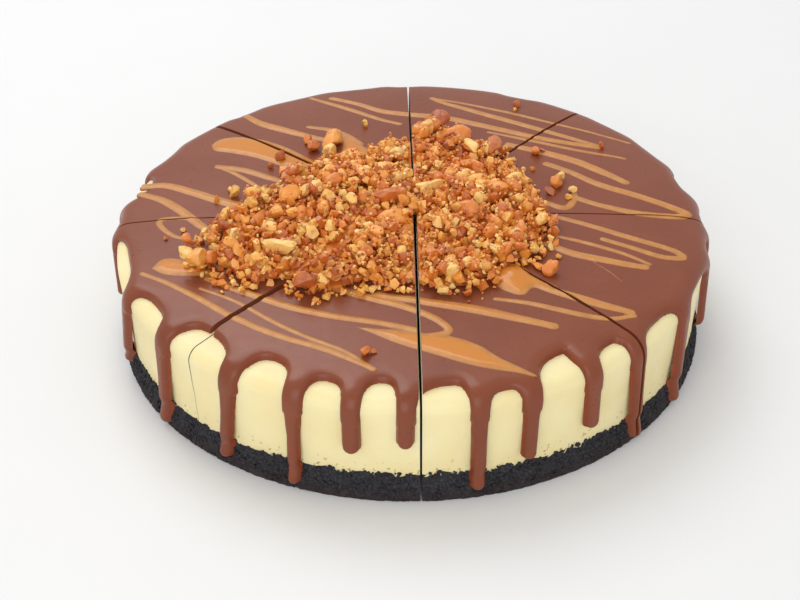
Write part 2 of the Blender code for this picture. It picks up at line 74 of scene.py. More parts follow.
# %% [markdown]
# ## Studio
#
# The light is a bright, even studio: a white room, a large soft light from behind on the left
# and another from the front. The floor is a plain pale sheet.

# %% Light the studio
studio = bpy.context.scene
studio.view_settings.view_transform = "Standard"
world = bpy.data.worlds.new("studio")
studio.world = world
world.use_nodes = True
sky = world.node_tree.nodes["Background"]
sky.inputs["Color"].default_value = (1, 1, 1, 1)
sky.inputs["Strength"].default_value = 0.74


def add_softbox(name, place, target, size, power):
    """A square soft light that faces a point."""
    lamp = bpy.data.lights.new(name, "AREA")
    lamp.size = size
    lamp.energy = power
    box = bpy.data.objects.new(name, lamp)
    studio.collection.objects.link(box)
    box.location = place
    box.rotation_euler = (Vector(target) - Vector(place)).to_track_quat("-Z", "Y").to_euler()


add_softbox("back_softbox", (-0.35, 0.7, 1.1), (0, 0, 0.03), 0.8, 6.5)
add_softbox("front_softbox", (-0.25, -1.2, 0.75), (0, 0, 0.03), 1.1, 6.5)

bpy.ops.mesh.primitive_plane_add(size=8, location=(0, 0, 0))
floor = bpy.context.object
floor.name = "floor"

# %% [markdown]
# ## Node helpers
#
# Every finish is a small node graph on the Principled shader. One class keeps the graphs
# short: each of its helpers adds a node, such as noise at a given size in millimetres.

# %% Node helpers


class Finish:
    """A material whose nodes are added one after another."""

    def __init__(self, name):
        self.material = bpy.data.materials.new(name)
        self.material.use_nodes = True
        self.nodes = self.material.node_tree.nodes
        self.links = self.material.node_tree.links
        self.shader = self.nodes["Principled BSDF"]
        self.place = self.add("TexCoord").outputs["Object"]

    def add(self, kind, settings=None, **values):
        node = self.nodes.new("ShaderNode" + kind)
        for key, value in (settings or {}).items():
            setattr(node, key, value)
        for key, value in values.items():
            self.put(node.inputs[key.replace("_", " ")], value)
        return node

    def put(self, socket, value):
        if isinstance(value, bpy.types.NodeSocket):
            self.links.new(value, socket)
        else:
            socket.default_value = value

    def noise(self, size_mm, detail=3.0, roughness=0.5):
        """Noise between 0 and 1 whose lumps are about this size."""
        node = self.add("TexNoise", Scale=1000 / size_mm, Detail=detail, Roughness=roughness,
                        Vector=self.place)
        return node.outputs["Fac"]

    def ramp(self, value, *stops):
        """Colours at positions from 0 to 1."""
        node = self.add("ValToRGB", Fac=value)
        band = node.color_ramp
        while len(band.elements) < len(stops):
            band.elements.new(0.5)
        for element, (position, colour) in zip(band.elements, stops):
            element.position = position
            element.color = (*colour, 1)
        return node.outputs["Color"]

    def spread(self, value, low, high, to_low=0.0, to_high=1.0):
        """A value range stretched to another, and held at its ends."""
        node = self.add("MapRange", Value=value, From_Min=low, From_Max=high,
                        To_Min=to_low, To_Max=to_high)
        return node.outputs["Result"]

    def mix(self, share, first, second):
        node = self.add("Mix", {"data_type": "RGBA"})
        self.put(node.inputs[0], share)
        for socket, value in ((node.inputs[6], first), (node.inputs[7], second)):
            self.put(socket, value if isinstance(value, bpy.types.NodeSocket) else (*value, 1))
        return node.outputs[2]

    def attribute(self, name):
        return self.add("Attribute", {"attribute_name": name}).outputs["Fac"]

    def maths(self, operation, first, second):
        node = self.add("Math", {"operation": operation})
        self.put(node.inputs[0], first)
        self.put(node.inputs[1], second)
        return node.outputs[0]

    def bump(self, height, depth_mm):
        return self.add("Bump", Height=height, Strength=1.0, Distance=depth_mm * MM).outputs["Normal"]

    def set(self, **values):
        for key, value in values.items():
            self.put(self.shader.inputs[key.replace("_", " ")], value)
        return self.material

    def cover(self, piece):
        piece.data.materials.clear()
        piece.data.materials.append(self.material)


def tint(red, green, blue):
    """A colour given as it is seen on a screen, from 0 to 255, as the linear values nodes use."""
    return tuple(((v / 255 + 0.055) / 1.055) ** 2.4 if v > 10 else v / 255 / 12.92
                 for v in (red, green, blue))


paper = Finish("floor_paper")
floor.data.materials.append(paper.set(
    Base_Color=paper.mix(paper.noise(40), (0.80, 0.80, 0.80), (0.82, 0.82, 0.82)),
    Roughness=0.6))
print("tint of cream", [round(v, 3) for v in tint(240, 230, 180)])

# %% [markdown]
# ## Sizes of the layers
#
# These are the sizes that the part was made with, in metres, but the coat's edge rounds off
# more tightly here. The filling's top sinks a little towards its rounded rim, and the crust
# spreads where it stands.

# %% Sizes of the layers
FILLING_RADIUS = 115.3 * MM  # at the rim
FILLING_FOOT = 113.4 * MM  # at the crust: the side leans out a little on its way up
FILLING_TOP = 46.1 * MM
RIM_RADIUS = 5.0 * MM
DOME_DROP = 2.2 * MM
CRUST_TOP = 11.0 * MM
CRUST_RADIUS = 113.9 * MM
FOOT_RADIUS = 115.8 * MM
COAT_LIFT = 2.9 * MM  # from the filling to the coat's face
COAT_EDGE = 1.3 * MM  # width over which the coat rounds off
COAT_SLOPE = 5.0 * MM  # width over which it swells further
COAT_WAVE = 0.16 * MM  # height of the slow waves in its face
WIDEST = 117.8 * MM  # no drip reaches further out than this
ARCH_FEET = 121.0 * MM  # run along the profile down to which the bare arches curve
ARCH_POWER = 2.6  # 2 makes the arches elliptic, more makes them squarer
CUT_CENTRE = Vector((1.8 * MM, 0, 0))
HIGHEST = 58.9 * MM  # no piece of nut stands higher than this

# Knife cuts: direction in degrees from +X, then the gap in the toppings and the gap in the
# layers below, in millimetres
CUTS = (
    (-89.2, 1.5, 0.8),
    (-45.7, 1.3, 0.5),
    (-1.0, 0.8, 0.5),
    (50.3, 1.3, 0.5),
    (91.2, 0.8, 0.6),
    (138.1, 1.8, 0.5),
    (181.5, 0.8, 0.5),
    (226.0, 2.3, 0.4),
)
SLICES = len(CUTS)


def dome(radius):
    """Height of the filling's top at this radius."""
    inner = FILLING_RADIUS - RIM_RADIUS
    return FILLING_TOP - DOME_DROP * np.minimum(radius / inner, 1.03) ** 6


def dome_points(radii):
    """Points of the filling's top, as (radius, height), at radii in millimetres."""
    return [(r * MM, float(dome(r * MM))) for r in radii]


def rim_arc(count):
    """The rounding between top and side, from the top down, as (radius, height)."""
    centre = FILLING_RADIUS - RIM_RADIUS
    low_end = FILLING_TOP - DOME_DROP - RIM_RADIUS
    turns = [math.pi / 2 * (1 - i / count) for i in range(count + 1)]
    return [(centre + RIM_RADIUS * math.cos(a), low_end + RIM_RADIUS * math.sin(a))
            for a in turns]


def crust_side():
    """The crust's side, from its top edge down to the foot."""
    return [
        (CRUST_RADIUS, CRUST_TOP),
        (CRUST_RADIUS + 0.9 * MM, 7.0 * MM),
        (FOOT_RADIUS - 0.3 * MM, 3.2 * MM),
        (FOOT_RADIUS, 1.2 * MM),
        (FOOT_RADIUS - 0.5 * MM, 0),
    ]


def along(points, step):
    """Points at even spacing along a broken line."""
    points = np.array(points, float)
    lengths = np.concatenate([[0], np.cumsum(np.linalg.norm(np.diff(points, axis=0), axis=1))])
    count = max(2, int(round(lengths[-1] / step)))
    places = np.linspace(0, lengths[-1], count + 1)
    return np.stack([np.interp(places, lengths, points[:, i]) for i in (0, 1)], axis=1)


print("coated top at", round((dome(0) + COAT_LIFT) / MM, 2), "mm")

# %% [markdown]
# ## Turning and cutting
#
# A cake from a round tin is a turned shape: its profile is drawn once and spun round the
# middle. The cuts are made as the knife makes them, with the bisect tool: each slice is a copy
# of the layer that loses all that lies outside its two cut faces, which are filled.

# %% Turning and cutting


def turn_profile(name, profile, steps):
    """Spins a profile of (radius, height), given from the top down, round the middle."""
    mesh = bpy.data.meshes.new(name)
    points = [(float(radius), 0, float(height)) for radius, height in profile]
    mesh.from_pydata(points, [(i, i + 1) for i in range(len(points) - 1)], [])
    obj = bpy.data.objects.new(name, mesh)
    studio.collection.objects.link(obj)
    pick(obj)
    bpy.ops.object.mode_set(mode="EDIT")
    bpy.ops.mesh.select_all(action="SELECT")
    bpy.ops.mesh.spin(steps=steps, angle=2 * math.pi, center=(0, 0, 0), axis=(0, 0, 1))
    bpy.ops.mesh.select_all(action="SELECT")
    bpy.ops.mesh.remove_doubles(threshold=0.000002)
    bpy.ops.mesh.normals_make_consistent(inside=False)
    bpy.ops.object.mode_set(mode="OBJECT")
    return obj


def pick(obj):
    """Makes one object the only selected and active one."""
    bpy.ops.object.select_all(action="DESELECT")
    obj.select_set(True)
    bpy.context.view_layer.objects.active = obj


def corners(obj):
    co = np.empty(len(obj.data.vertices) * 3, np.float32)
    obj.data.vertices.foreach_get("co", co)
    return co.reshape(-1, 3).astype(float)


def add_layer(mesh, name, values, domain="POINT"):
    """Numbers kept with a mesh's points or faces, for its finish to read."""
    layer = mesh.attributes.new(name, "FLOAT", domain)
    layer.data.foreach_set("value", np.asarray(values, np.float32))


def drop_points(obj, unwanted):
    """Deletes the marked points with their faces."""
    pick(obj)
    bpy.ops.object.mode_set(mode="EDIT")
    bpy.ops.mesh.select_all(action="DESELECT")
    bpy.ops.mesh.select_mode(type="VERT")
    bpy.ops.object.mode_set(mode="OBJECT")
    obj.data.vertices.foreach_set("select", unwanted)
    bpy.ops.object.mode_set(mode="EDIT")
    bpy.ops.mesh.delete(type="VERT")
    bpy.ops.object.mode_set(mode="OBJECT")


def thicken(obj, thickness):
    """Gives an open sheet a back and edges, so that it is closed."""
    back = obj.modifiers.new("back", "SOLIDIFY")
    back.thickness = thickness
    back.offset = -1
    bpy.ops.object.modifier_apply(modifier=back.name)


def put_corners(obj, co):
    obj.data.vertices.foreach_set("co", co.astype(np.float32).ravel())
    obj.data.update()


def cut_face(number, width_column):
    """The normal of a cut's middle plane, which runs through CUT_CENTRE, and half the gap."""
    angle = math.radians(CUTS[number % SLICES][0])
    return Vector((-math.sin(angle), math.cos(angle), 0)), CUTS[number % SLICES][width_column] / 2 * MM


def one_slice(whole, number, width_column, name):
    """A copy of a layer that keeps only what lies between two neighbouring cuts."""
    piece = whole.copy()
    piece.data = whole.data.copy()
    piece.name = name
    studio.collection.objects.link(piece)
    pick(piece)
    bpy.ops.object.mode_set(mode="EDIT")
    for cut, side in ((number, -1), (number + 1, 1)):
        normal, half = cut_face(cut, width_column)
        bpy.ops.mesh.select_all(action="SELECT")
        bpy.ops.mesh.bisect(plane_co=CUT_CENTRE - normal * half * side, plane_no=normal * side,
                            use_fill=True, clear_outer=True, threshold=0.0000001)
    bpy.ops.mesh.select_all(action="SELECT")
    bpy.ops.mesh.delete_loose()
    bpy.ops.object.mode_set(mode="OBJECT")
    return piece


def cut_into_slices(whole, width_column, keep_apart=False):
    """Cuts a layer into its eight slices and joins them again, or keeps them apart."""
    name = whole.name
    whole.name = name + "_whole"
    slices = [one_slice(whole, i, width_column, f"{name}_{i + 1}") for i in range(SLICES)]
    bpy.data.objects.remove(whole)
    if keep_apart:
        return slices
    pick(slices[0])
    for piece in slices:
        piece.select_set(True)
    bpy.ops.object.join()
    joined = bpy.context.object
    joined.name = name
    return joined


def smooth_faces(obj, angle):
    pick(obj)
    bpy.ops.object.shade_smooth_by_angle(angle=math.radians(angle))


def triangles(obj):
    return sum(len(face.vertices) - 2 for face in obj.data.polygons)


# %% [markdown]
# ## Crust
#
# The crust is pressed cookie crumb, nearly black, with a rough side and an uneven upper edge.
# A turned disc gives its form, its points are pushed in by noise at three sizes, and a few
# thousand small crumbs sit half in the surface, because bump alone leaves a clean outline.

# %% Turn the crust


def crust_top_at(turn):
    """The crust's upper edge rises and falls round the cake; turn is in radians."""
    front = turn + math.pi / 2
    slow = 0.7 * math.cos(front * 2 + 0.5) + 0.45 * math.sin(front * 5 + 1)
    place = Vector((math.cos(turn) * 9, math.sin(turn) * 9, 0.5))
    fine = noise.noise(place * 2) * 0.9 + noise.noise(place * 7) * 0.55
    return (slow * 0.6 + fine) * MM


side = along(crust_side(), 0.55 * MM)
crust = turn_profile("crust", [(0, CRUST_TOP - 2 * MM), (100 * MM, CRUST_TOP - 2 * MM),
                               (111 * MM, CRUST_TOP - 1 * MM), (113 * MM, CRUST_TOP),
                               *side, (100 * MM, 0), (0, 0)], 900)
co = corners(crust)
for point in co:
    radius = math.hypot(point[0], point[1])
    if radius < 112 * MM:
        continue
    spot = Vector(point)
    turn = math.atan2(point[1], point[0])
    rough = (noise.noise(spot * 240) * 0.55 + noise.noise(spot * 620) * 0.5
             + noise.noise(spot * 1400) * 0.3)
    inward = 1.1 * MM * min(1.2, max(0, 0.4 + rough))
    if point[2] < 0.3 * MM:
        inward *= 0.6
    point[0] *= 1 - inward / radius
    point[1] *= 1 - inward / radius
    share = min(1, max(0, (point[2] - 5 * MM) / (CRUST_TOP - 5 * MM)))
    point[2] += share * crust_top_at(turn)
put_corners(crust, co)
crust = cut_into_slices(crust, 2)
smooth_faces(crust, 50)
print("crust", triangles(crust), "triangles")

# %% Scatter crumbs on the crust


def thinned(lump, keep):
    """Points and faces of a lump thinned to this share of its faces; the lump itself goes."""
    thin = lump.modifiers.new("thin", "DECIMATE")
    thin.ratio = keep
    bpy.ops.object.modifier_apply(modifier=thin.name)
    co = corners(lump)
    faces = [tuple(face.vertices) for face in lump.data.polygons]
    bpy.data.objects.remove(lump)
    return co, faces


def pebble(seed, level=2, rough=0.35, keep=0.5, breaks=0):
    """A small irregular lump of unit size with a few flat breaks, thinned to few faces."""
    bpy.ops.mesh.primitive_ico_sphere_add(subdivisions=level, radius=0.5, location=(0, 0, 0))
    lump = bpy.context.object
    shift = Vector((seed * 3.7, seed * 1.9, seed * 0.7))
    rule = random.Random(seed)
    planes = [(Vector((rule.gauss(0, 1), rule.gauss(0, 1), rule.gauss(0, 1))).normalized(),
               rule.uniform(0.16, 0.34)) for _ in range(breaks)]
    for vert in lump.data.vertices:
        vert.co *= 1 + rough * noise.noise(vert.co * 2.4 + shift)
        vert.co += noise.noise_vector(vert.co * 5 + shift) * 0.07
        for normal, depth in planes:
            vert.co -= normal * max(0, vert.co.dot(normal) - depth) * 0.9
    return thinned(lump, keep)


def scatter(name, shapes, places, angle=45):
    """One mesh of many lumps. Each place is (shape number, matrix, tone)."""
    all_co, all_faces, tones, start = [], [], [], 0
    for shape, matrix, tone in places:
        co, faces = shapes[shape]
        turned = co @ np.array(matrix.to_3x3()).T + np.array(matrix.translation)
        turned[:, 2] -= max(0, turned[:, 2].max() - HIGHEST)
        all_co.append(turned)
        all_faces += [tuple(v + start for v in face) for face in faces]
        tones += [tone] * len(co)
        start += len(co)
    mesh = bpy.data.meshes.new(name)
    mesh.from_pydata(np.concatenate(all_co).tolist(), [], all_faces)
    add_layer(mesh, "tone", tones)
    obj = bpy.data.objects.new(name, mesh)
    studio.collection.objects.link(obj)
    smooth_faces(obj, angle)
    print(name, len(places), "lumps and", triangles(obj), "triangles")
    return obj


def tumbled(draw, place, size, stretch=(1, 1, 1)):
    """A matrix that turns a unit lump any way, sizes it and puts it in place."""
    turn = Quaternion((draw.gauss(0, 1), draw.gauss(0, 1), draw.gauss(0, 1), draw.gauss(0, 1)))
    turn.normalize()
    scale = Matrix.Diagonal((size * stretch[0], size * stretch[1], size * stretch[2], 1))
    return Matrix.Translation(place) @ turn.to_matrix().to_4x4() @ scale


def clear_of_cuts(x, y, reach, width_column, hidden=None):
    """False where something of this reach would lie over a knife cut. The cuts may be hidden
    out to given distances in millimetres."""
    for number in range(SLICES):
        normal, half = cut_face(number, width_column)
        spot = Vector((x, y, 0)) - CUT_CENTRE
        forward = Vector((normal.y, -normal.x, 0))
        if hidden and spot.dot(forward) < hidden[number] * MM:
            continue
        if spot.dot(forward) > 0 and abs(spot.dot(normal)) < half + reach:
            return False
    return True


CRUST_CRUMBS = 4500
draw = random.Random(3)
crumb_shapes = [pebble(seed, keep=0.42) for seed in range(10)]
crumb_places = []
outline = along(crust_side(), 0.5 * MM)
while len(crumb_places) < CRUST_CRUMBS:
    turn = draw.uniform(0, 2 * math.pi)
    radius, height = outline[draw.randrange(len(outline))]
    size = draw.uniform(0.7, 1.7) * MM
    height = min(max(height, size * 0.66), CRUST_TOP) + (crust_top_at(turn) if height > 9 * MM else 0)
    radius = min(radius - 0.4 * MM, FOOT_RADIUS - size * 0.6)
    spot = Vector((radius * math.cos(turn), radius * math.sin(turn), height))
    if clear_of_cuts(spot.x, spot.y, size * 0.6, 2):
        crumb_places.append((draw.randrange(10), tumbled(draw, spot, size), draw.random()))
crust_crumbs = scatter("crust_crumbs", crumb_shapes, crumb_places, 40)

# %% Crust finish
crumb = Finish("crust")
grain = crumb.noise(0.9, 6, 0.65)
patches = crumb.noise(6, 3)
dark = crumb.ramp(grain, (0.35, tint(28, 27, 30)), (0.55, tint(54, 53, 58)), (0.75, tint(92, 91, 97)))
height_up = crumb.add("SeparateXYZ", Vector=crumb.place).outputs["Z"]
foot = crumb.spread(height_up, 0.002, 0.006, 1, 0)
browner = crumb.mix(crumb.maths("MULTIPLY", foot, 0.45), dark, tint(58, 38, 34))
crumb.set(
    Base_Color=crumb.mix(crumb.spread(patches, 0.45, 0.7, 0, 0.35), browner, tint(44, 34, 32)),
    Roughness=crumb.spread(grain, 0.3, 0.7, 0.62, 0.85),
    Normal=crumb.bump(crumb.noise(1.1, 5, 0.65), 1.1),
    Specular_IOR_Level=0.35)
for piece in (crust, crust_crumbs):
    crumb.cover(piece)
    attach(piece, "root")
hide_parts(*[f"crust_{i + 1}" for i in range(8)])

# %% [markdown]
# ## Filling
#
# The filling was baked against a tin, so its side is smooth, with a faint wave and a few pits.
# It is turned like the crust, and noise moves its points by a few tenths of a millimetre. It is
# flecked brown low on the side. Its cut faces turn dark brown towards the top: partly the
# chocolate that the knife dragged down, partly painted shade for the narrow gaps between slices.

# %% Turn the filling
top = dome_points((0, 40, 70, 90, 98))
shoulder = dome_points((101, 102.5, 104, 105.5, 107, 108.5, 109.5))
wall = along([(FILLING_RADIUS, FILLING_TOP - DOME_DROP - RIM_RADIUS),
              (FILLING_FOOT, 13 * MM), (FILLING_FOOT, 7.5 * MM)], 1.1 * MM)
filling = turn_profile("filling", [*top, *shoulder, *rim_arc(9), *wall[1:],
                                   (100 * MM, 7.5 * MM), (0, 7.5 * MM)], 540)
co = corners(filling)
for point in co:
    radius = math.hypot(point[0], point[1])
    if radius < 100 * MM:
        continue
    spot = Vector(point)
    slow = noise.noise(Vector((spot.x * 26, spot.y * 26, spot.z * 34)))
    fine = noise.noise(Vector((spot.x * 130, spot.y * 130, spot.z * 90)))
    pit = max(0, noise.noise(spot * 320 + Vector((3, 1, 0))) - 0.55)
    push = (0.22 * slow + 0.07 * fine - 0.9 * pit) * MM
    point[0] *= 1 + push / radius
    point[1] *= 1 + push / radius
put_corners(filling, co)
filling = cut_into_slices(filling, 2)
smooth_faces(filling, 40)
print("filling", triangles(filling), "triangles")

# %% Mark the faces that the knife left
centres = np.array([face.center[:] for face in filling.data.polygons]) - np.array(CUT_CENTRE)
cut_share = np.zeros(len(centres), np.float32)
for number in range(SLICES):
    normal, half = cut_face(number, 2)
    aside = np.abs(centres @ np.array(normal)) - half
    ahead = centres @ np.array((normal.y, -normal.x, 0))
    cut_share[(np.abs(aside) < 0.01 * MM) & (ahead > 0)] = 1
add_layer(filling.data, "cut", cut_share, "FACE")
print("cut faces", int(cut_share.sum()))

# %% Filling finish
cream = Finish("filling")
cloud = cream.noise(22, 3)
speck = cream.noise(1.6, 2, 0.5)
low_part = cream.add("SeparateXYZ", Vector=cream.place).outputs["Z"]
near_crust = cream.spread(low_part, 0.010, 0.019, 1, 0)
base_cream = cream.mix(cream.spread(cloud, 0.35, 0.65), tint(244, 231, 180), tint(240, 223, 166))
baked = cream.mix(cream.maths("MULTIPLY", near_crust, 0.25), base_cream, tint(226, 204, 142))
dots = cream.maths("MULTIPLY", cream.spread(speck, 0.63, 0.69), near_crust)
flecked = cream.mix(dots, baked, tint(146, 112, 66))
# Painted shade in part: the cut faces go dark brown, darker than the coat, from 22 mm up. One colour stands
# for both the knife's chocolate smear and the shade in the narrow cut gaps.
knife_smear_and_gap_shade = cream.maths("MULTIPLY", cream.attribute("cut"), cream.spread(low_part, 0.022, 0.038))
cream.set(
    Base_Color=cream.mix(knife_smear_and_gap_shade, flecked, tint(106, 54, 36)),
    Roughness=cream.spread(cream.noise(5, 3), 0.3, 0.7, 0.38, 0.52),
    Normal=cream.bump(cream.noise(1.8, 4, 0.55), 0.12),
    Subsurface_Weight=0.25,
    Subsurface_Radius=(0.004, 0.003, 0.0016),
    Subsurface_Scale=1.0,
    Specular_IOR_Level=0.4)
cream.cover(filling)
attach(filling, "root")
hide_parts(*[f"filling_{i + 1}" for i in range(8)])

# %% [markdown]
# ## Chocolate coat
#
# The coat was poured on the middle and pushed to the rim, where it ran down in drips. One rule
# describes its edge: a distance in from the edge, taken from the coat's reach at each direction
# and from a rounded strip for each drip, with a fillet where a strip leaves the rim. The face
# rounds off by a quarter circle close to the edge and swells a little more further in.

# %% Drips

# Drips, in degrees from +X and in millimetres: direction at the rim and at the tip, width at
# the rim and at the tip, height of the tip, then the bare arch before the next drip: the run
# along the cake's profile to the arch's top, and the direction of its top
DRIPS = (
    (159.0, 159.5, 6.0, 5.0, 17.0, 109.5, 166.0),
    (173.5, 174.0, 5.6, 4.8, 24.0, 115.0, 178.5),
    (182.5, 182.0, 5.6, 4.6, 14.0, 110.5, 192.0),
    (204.2, 198.6, 5.6, 4.8, 5.0, 109.3, 211.5),
    (219.3, 217.7, 8.0, 5.2, 1.8, 103.8, 225.5),
    (236.4, 234.5, 8.4, 5.0, 4.0, 103.2, 242.5),
    (249.2, 248.8, 8.0, 4.4, 2.8, 106.8, 254.2),
    (259.6, 259.6, 6.4, 6.2, 21.5, 104.8, 264.8),
    (269.2, 269.0, 6.4, 5.8, 25.0, 106.5, 277.6),
    (281.9, 281.7, 6.8, 5.2, 4.0, 112.3, 287.0),
    (291.4, 291.0, 8.0, 5.4, 14.0, 103.0, 301.4),
    (303.7, 303.6, 7.6, 5.8, 18.5, 108.3, 311.0),
    (314.5, 315.3, 7.4, 5.6, 2.0, 111.8, 323.0),
    (330.4, 329.0, 8.0, 5.0, 1.8, 115.3, 337.5),
    (348.0, 349.0, 8.0, 6.4, 10.5, 115.5, 352.5),
    (357.0, 357.0, 5.6, 6.0, 22.0, 115.0, 361.5),
)


def back_drips():
    """Drips on the side away from the view, spread evenly with seeded differences."""
    draw = random.Random(8)
    rows = []
    spacing = 138 / 11
    for i in range(12):
        place = 9 + spacing * i + draw.uniform(-2, 2)
        width = draw.uniform(5.4, 7.4)
        tip_width = draw.uniform(4.4, 6.0)
        tip = draw.choice((2.5, 5, 11, 17, 22, 27))
        arch, peak = draw.uniform(112.5, 116.5), place + spacing / 2 + draw.uniform(-1, 1)
        tip_place = place + draw.uniform(-1.5, 1.5)
        rows.append((place, tip_place, width, tip_width, tip, arch, peak))
    return rows


def smooth_max(a, b, reach):
    """The larger of two fields, with a fillet where they meet."""
    blend = np.clip(0.5 + 0.5 * (a - b) / reach, 0, 1)
    return b * (1 - blend) + a * blend + reach * blend * (1 - blend)


def signed_turn(degrees):
    return (degrees + 180) % 360 - 180


all_drips = sorted([*DRIPS, *back_drips()])


def cap_edge(drips):
    """Run at which the coat ends between the drips, at every tenth of a degree.
    The bare filling shows through rounded arches, whose feet stand beside the drips."""
    turn = np.arange(3600) / 10
    edge = np.full(3600, ARCH_FEET)
    for row, following in zip(drips, [*drips[1:], drips[0]]):
        left = row[0] + math.degrees(0.38 * row[2] * MM / FILLING_RADIUS)
        right = following[0] - math.degrees(0.38 * following[2] * MM / FILLING_RADIUS)
        right = left + (right - left) % 360
        peak = min(max(left + (row[6] - left) % 360, left + 0.9), right - 0.9)
        place = left + (turn - left) % 360
        side = np.where(place < peak, peak - left, right - peak)
        share = np.clip(np.abs(place - peak) / side, 0, 1)
        height = (ARCH_FEET - row[5] * MM) * (1 - share**ARCH_POWER) ** (1 / ARCH_POWER)
        edge = np.where(place <= right, ARCH_FEET - height, edge)
    return edge


def cap_distance(turn, run, edge):
    """Distance in from the cap's edge, taken to the nearest stretch of it close by."""
    column = np.round(turn * 10).astype(int)
    nearest = np.full(np.shape(run), 1.0)
    for shift in range(-30, 30, 2):
        start, end = [
            math.radians(at / 10) * FILLING_RADIUS + 1j * (edge[(column + at) % 3600] - run)
            for at in (shift, shift + 2)
        ]
        along_it = end - start
        share = np.clip(-(start * along_it.conj()).real / np.abs(along_it) ** 2, 0, 1)
        nearest = np.minimum(nearest, np.abs(start + share * along_it))
    return np.where(edge[column % 3600] > run, nearest, -nearest)


def coat_field(turn, run, run_of_height):
    """Distance in from the coat's edge, in metres, at a direction (degrees) and a run along
    the profile. The cap ends in arches, and each drip is a rounded strip down from it."""
    field = cap_distance(turn, run, cap_edge(all_drips))
    rim_run = FILLING_RADIUS - 8 * MM
    for rim, tip, width, tip_width, height, *_ in all_drips:
        end = run_of_height(height * MM) - tip_width / 2 * MM
        share = np.clip((run - rim_run) / (end - rim_run), 0, 1)
        place = rim + signed_turn(tip - rim) * share**1.5
        aside = np.radians(signed_turn(turn - place)) * FILLING_RADIUS
        down = np.maximum(0, run - end)
        half = (width + (tip_width - width) * np.clip(share * 1.8, 0, 1)) / 2 * MM
        strip = half - np.hypot(aside, down)
        strip = np.where(run < rim_run - 4 * MM, -1.0, strip)
        field = smooth_max(field, strip, 2.5 * MM)
    return field


print("drips", len(all_drips))

# %% Pour the coat
inner = FILLING_RADIUS - RIM_RADIUS
fine_top = dome_points(np.arange(96, inner / MM, 0.5))
envelope = [(FILLING_RADIUS, CRUST_TOP + 2.0 * MM), *crust_side()[:-1]]
fine_part = along(fine_top + rim_arc(16) + envelope, 0.6 * MM)
middle_part = dome_points(np.arange(0, 95, 4.8))
for i in range(12, len(fine_part) - 4):
    fine_part[i] = fine_part[i - 4:i + 5].mean(axis=0)
coat_line = np.concatenate([middle_part, fine_part])
slope = np.gradient(coat_line, axis=0)
coat_out = np.stack([-slope[:, 1], slope[:, 0]], axis=1)
coat_out /= np.linalg.norm(coat_out, axis=1)[:, None]
coat_run = np.concatenate([[0], np.cumsum(np.linalg.norm(np.diff(coat_line, axis=0), axis=1))])


def run_of_height(height):
    side_rows = coat_line[:, 0] > inner
    return np.interp(-height, -coat_line[side_rows, 1], coat_run[side_rows])


def rows_and_field(co):
    """The radius, the nearest row of the profile and the coat's field at each point."""
    radius = np.hypot(co[:, 0], co[:, 1])
    turn = np.degrees(np.arctan2(co[:, 1], co[:, 0])) % 360
    row = np.empty(len(co), int)
    for start in range(0, len(co), 20000):
        part = slice(start, start + 20000)
        far = ((radius[part, None] - coat_line[:, 0]) ** 2
               + (co[part, 2:3] - coat_line[:, 1]) ** 2)
        row[part] = far.argmin(axis=1)
    return radius, row, coat_field(turn, coat_run[row], run_of_height)


def coat_waves(places):
    """How far the coat's face waves up or down at each place; the caramel on it follows."""
    return COAT_WAVE * np.array(
        [noise.noise(Vector((x * 18, y * 18, z * 18 + 7))) for x, y, z in places])


bottom = coat_line[-1]
coat = turn_profile("chocolate", [*coat_line, (bottom[0] - 20 * MM, bottom[1]), (0, bottom[1])], 1080)
co = corners(coat)
radius, row, field = rows_and_field(co)
on_face = np.hypot(radius - coat_line[row, 0], co[:, 2] - coat_line[row, 1]) < 0.01 * MM
share = np.clip(field / COAT_EDGE, 0, 1)
swell = 1 - (1 - np.clip(field / COAT_SLOPE, 0, 1)) ** 2
lift = np.where(field > 0, COAT_LIFT * (0.7 * np.sqrt(1 - (1 - share) ** 2) + 0.3 * swell),
                np.maximum(1.3 * field, -1.6 * MM))
lift = np.where(field > 0, lift + coat_waves(co) * np.clip(field / (4 * MM), 0, 1), lift)
lift = np.where(on_face, lift, 0)
grow = 1 + np.where(radius > 1e-7, coat_out[row, 0] * lift, 0) / np.maximum(radius, 1e-7)
grow = np.minimum(grow, WIDEST / np.maximum(radius, 1e-7))
co[:, 0] *= grow
co[:, 1] *= grow
co[:, 2] += coat_out[row, 1] * lift
put_corners(coat, co)
print("coat points", len(co))

# %% Hollow the coat out and cut it
under = [(max(0, r - 0.4 * MM * (r > 1e-6)), z - 0.4 * MM)
         for r, z in dome_points((0, 60, 90, 102)) + rim_arc(8)]
core = turn_profile("core", [*under, *[(r - 0.4 * MM, z) for r, z in envelope],
                             (110 * MM, -10 * MM), (0, -10 * MM)], 240)
pick(coat)
hollow = coat.modifiers.new("hollow", "BOOLEAN")
hollow.operation = "DIFFERENCE"
hollow.solver = "MANIFOLD"
hollow.object = core
bpy.ops.object.modifier_apply(modifier=hollow.name)
bpy.data.objects.remove(core)
coat_slices = cut_into_slices(coat, 1, keep_apart=True)
for piece in coat_slices:
    _, _, field = rows_and_field(corners(piece))
    add_layer(piece.data, "edge", np.clip(field / (1.6 * MM), 0, 1))
    smooth_faces(piece, 50)
print("coat", [triangles(piece) for piece in coat_slices], "triangles")

